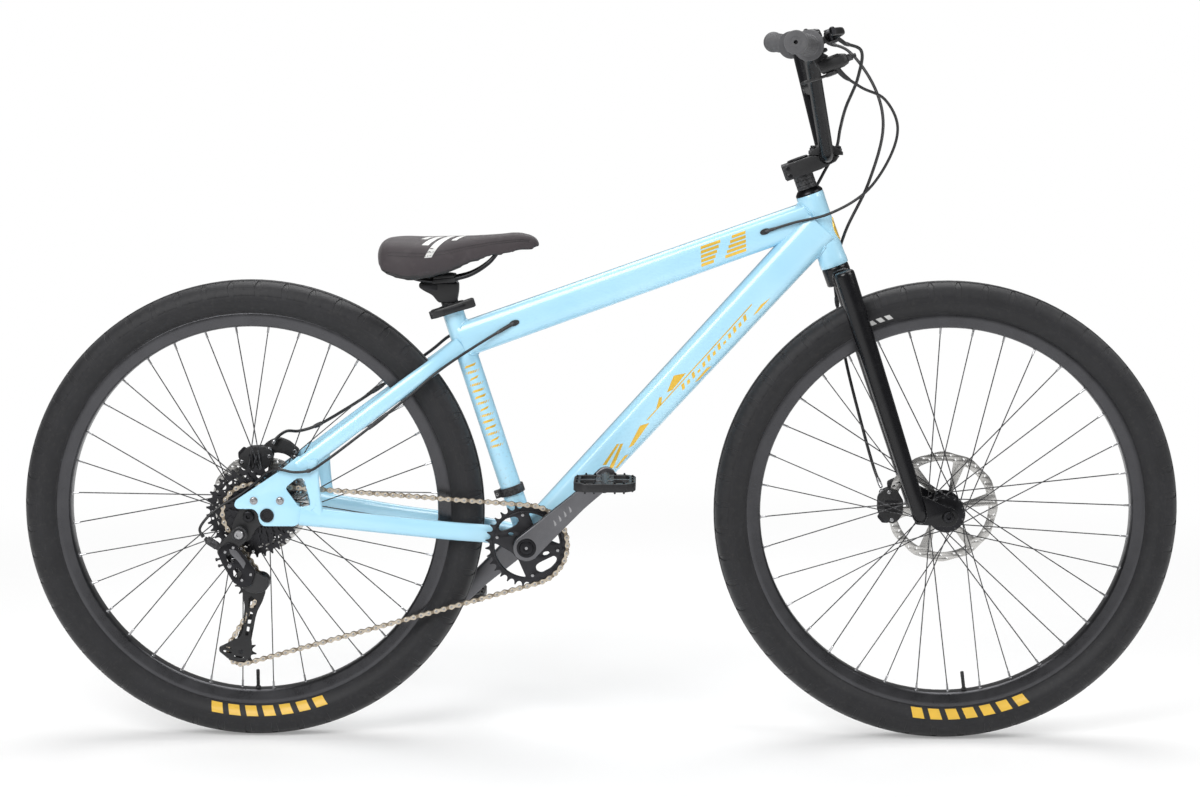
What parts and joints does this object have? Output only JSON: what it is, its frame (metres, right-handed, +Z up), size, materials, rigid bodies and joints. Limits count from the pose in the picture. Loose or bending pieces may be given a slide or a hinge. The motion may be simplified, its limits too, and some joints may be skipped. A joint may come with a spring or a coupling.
{
  "type": "dirt jump bike",
  "caption": "Dirt jump bicycle with a sloping frame, rigid fork, wide spoked wheels, high-rise braced bar, disc brakes and a rear derailleur drivetrain.",
  "frame": {"origin": "on the ground, midway between the two axles and in the bike's middle plane", "axes": "+X is the way the bike rides, +Y is the rider's left, +Z is up; the drivetrain is at -Y"},
  "size_m": [1.846, 0.763, 1.1353],
  "materials": {
    "frame_blue": "gloss light blue enamel",
    "gloss_black": "gloss black enamel",
    "satin_black": "satin black anodised",
    "tyre_rubber": "matt black rubber",
    "grip_rubber": "matt soft rubber",
    "crank_grey": "dark grey anodised",
    "disc_steel": "brushed steel",
    "chain_steel": "plated steel",
    "saddle_cover": "smooth black cover",
    "black_plastic": "matt moulded plastic"
  },
  "bodies": {
    "frame": {"top_tube": "frame_blue", "down_tube": "frame_blue", "seat_tube": "frame_blue", "head_tube": "frame_blue", "bottom_bracket": "frame_blue", "right_chainstay": "frame_blue", "left_chainstay": "frame_blue", "right_seatstay": "frame_blue", "left_seatstay": "frame_blue", "right_dropout": "frame_blue", "left_dropout": "frame_blue", "right_axle_plate": "satin_black", "rear_axle": "satin_black", "seat_tube_band": "satin_black", "seat_clamp_collar": "satin_black", "rear_brake_caliper": "satin_black", "rear_derailleur": "black_plastic", "rear_shift_housing": "black_plastic", "rear_brake_hose": "black_plastic", "chain": "chain_steel"},
    "steering": {"fork_crown": "gloss_black", "right_fork_leg": "gloss_black", "left_fork_leg": "gloss_black", "headset_cover": "satin_black", "stem": "satin_black", "stem_lid": "satin_black", "handlebar": "gloss_black", "right_grip": "grip_rubber", "left_grip": "grip_rubber", "right_brake_body": "satin_black", "left_brake_body": "satin_black", "shifter": "black_plastic", "front_brake_caliper": "satin_black", "front_brake_hose": "black_plastic", "front_axle": "satin_black", "shift_housing_loop": "black_plastic", "rear_hose_loop": "black_plastic"},
    "front_wheel": {"front_tyre": "tyre_rubber", "front_rim": "satin_black", "front_hub_and_spokes": "satin_black", "front_brake_disc": "disc_steel"},
    "rear_wheel": {"rear_tyre": "tyre_rubber", "rear_rim": "satin_black", "rear_hub_and_spokes": "satin_black", "rear_brake_disc": "disc_steel"},
    "cassette": {"cassette": "satin_black"},
    "crankset": {"right_crank": "crank_grey", "left_crank": "crank_grey", "chainring": "satin_black"},
    "right_pedal": {"right_pedal": "satin_black"},
    "left_pedal": {"left_pedal": "satin_black"},
    "derailleur_cage": {"derailleur_cage": "satin_black"},
    "guide_pulley": {"guide_pulley": "black_plastic"},
    "tension_pulley": {"tension_pulley": "black_plastic"},
    "right_brake_lever": {"right_brake_lever": "satin_black"},
    "left_brake_lever": {"left_brake_lever": "satin_black"},
    "shift_lever": {"shift_lever": "black_plastic"},
    "saddle": {"saddle": "saddle_cover", "seat_post": "satin_black"},
    "seat_clamp_lever": {"seat_clamp_lever": "satin_black"}
  },
  "joints": [
    {"name": "steering_turn", "type": "hinge", "parent": "frame", "child": "steering", "pos_m": [0.37301, 0, 0.76307], "axis": [-0.3387, 0, 0.9409], "range_deg": [-50, 50], "deforming": ["shift_housing_loop", "rear_hose_loop"]},
    {"name": "front_wheel_spin", "type": "hinge", "parent": "steering", "child": "front_wheel", "pos_m": [0.553, 0, 0.37], "axis": [0, 1, 0], "continuous": true},
    {"name": "rear_wheel_spin", "type": "hinge", "parent": "frame", "child": "rear_wheel", "pos_m": [-0.553, 0, 0.37], "axis": [0, 1, 0], "continuous": true},
    {"name": "crank_spin", "type": "hinge", "parent": "frame", "child": "crankset", "pos_m": [-0.1135, 0, 0.32], "axis": [0, 1, 0], "continuous": true},
    {"name": "cassette_spin", "type": "hinge", "parent": "frame", "child": "cassette", "pos_m": [-0.553, 0, 0.37], "axis": [0, 1, 0], "continuous": true},
    {"name": "right_pedal_spin", "type": "hinge", "parent": "crankset", "child": "right_pedal", "pos_m": [0.01184, 0, 0.43485], "axis": [0, 1, 0], "continuous": true},
    {"name": "left_pedal_spin", "type": "hinge", "parent": "crankset", "child": "left_pedal", "pos_m": [-0.23884, 0, 0.20515], "axis": [0, 1, 0], "continuous": true},
    {"name": "cage_swing", "type": "hinge", "parent": "frame", "child": "derailleur_cage", "pos_m": [-0.537, 0, 0.263], "axis": [0, 1, 0], "range_deg": [0, 20], "stiffness_Nm_per_rad": 0.3, "springref_deg": -34.38, "deforming": ["chain"]},
    {"name": "guide_pulley_spin", "type": "hinge", "parent": "derailleur_cage", "child": "guide_pulley", "pos_m": [-0.557, 0, 0.256], "axis": [0, 1, 0], "continuous": true},
    {"name": "tension_pulley_spin", "type": "hinge", "parent": "derailleur_cage", "child": "tension_pulley", "pos_m": [-0.573, 0, 0.146], "axis": [0, 1, 0], "continuous": true},
    {"name": "right_brake_pull", "type": "hinge", "parent": "steering", "child": "right_brake_lever", "pos_m": [0.3486, -0.25747, 1.12139], "axis": [-0.3368, 0.1074, 0.9354], "range_deg": [0, 18], "stiffness_Nm_per_rad": 0.6, "springref_deg": -17.19},
    {"name": "left_brake_pull", "type": "hinge", "parent": "steering", "child": "left_brake_lever", "pos_m": [0.3486, 0.25747, 1.12139], "axis": [0.3368, 0.1074, -0.9354], "range_deg": [0, 18], "stiffness_Nm_per_rad": 0.6, "springref_deg": -17.19},
    {"name": "shift_lever_push", "type": "hinge", "parent": "steering", "child": "shift_lever", "pos_m": [0.34943, -0.22087, 1.06938], "axis": [0.3368, -0.1074, -0.9354], "range_deg": [0, 22], "stiffness_Nm_per_rad": 0.3, "springref_deg": -17.19},
    {"name": "saddle_height", "type": "slide", "parent": "frame", "child": "saddle", "axis": [-0.3074, 0, 0.9516], "range_m": [0, 0.06]},
    {"name": "seat_lever_open", "type": "hinge", "parent": "frame", "child": "seat_clamp_lever", "pos_m": [-0.26061, -0.018, 0.686], "axis": [0.3074, 0, -0.9516], "range_deg": [0, 135]}
  ],
  "couplings": [
    {"joint": "cassette_spin", "follows": "crank_spin", "ratio": 1.3913},
    {"joint": "tension_pulley_spin", "follows": "crank_spin", "ratio": 2.9091},
    {"joint": "guide_pulley_spin", "follows": "crank_spin", "ratio": -2.9091}
  ]
}
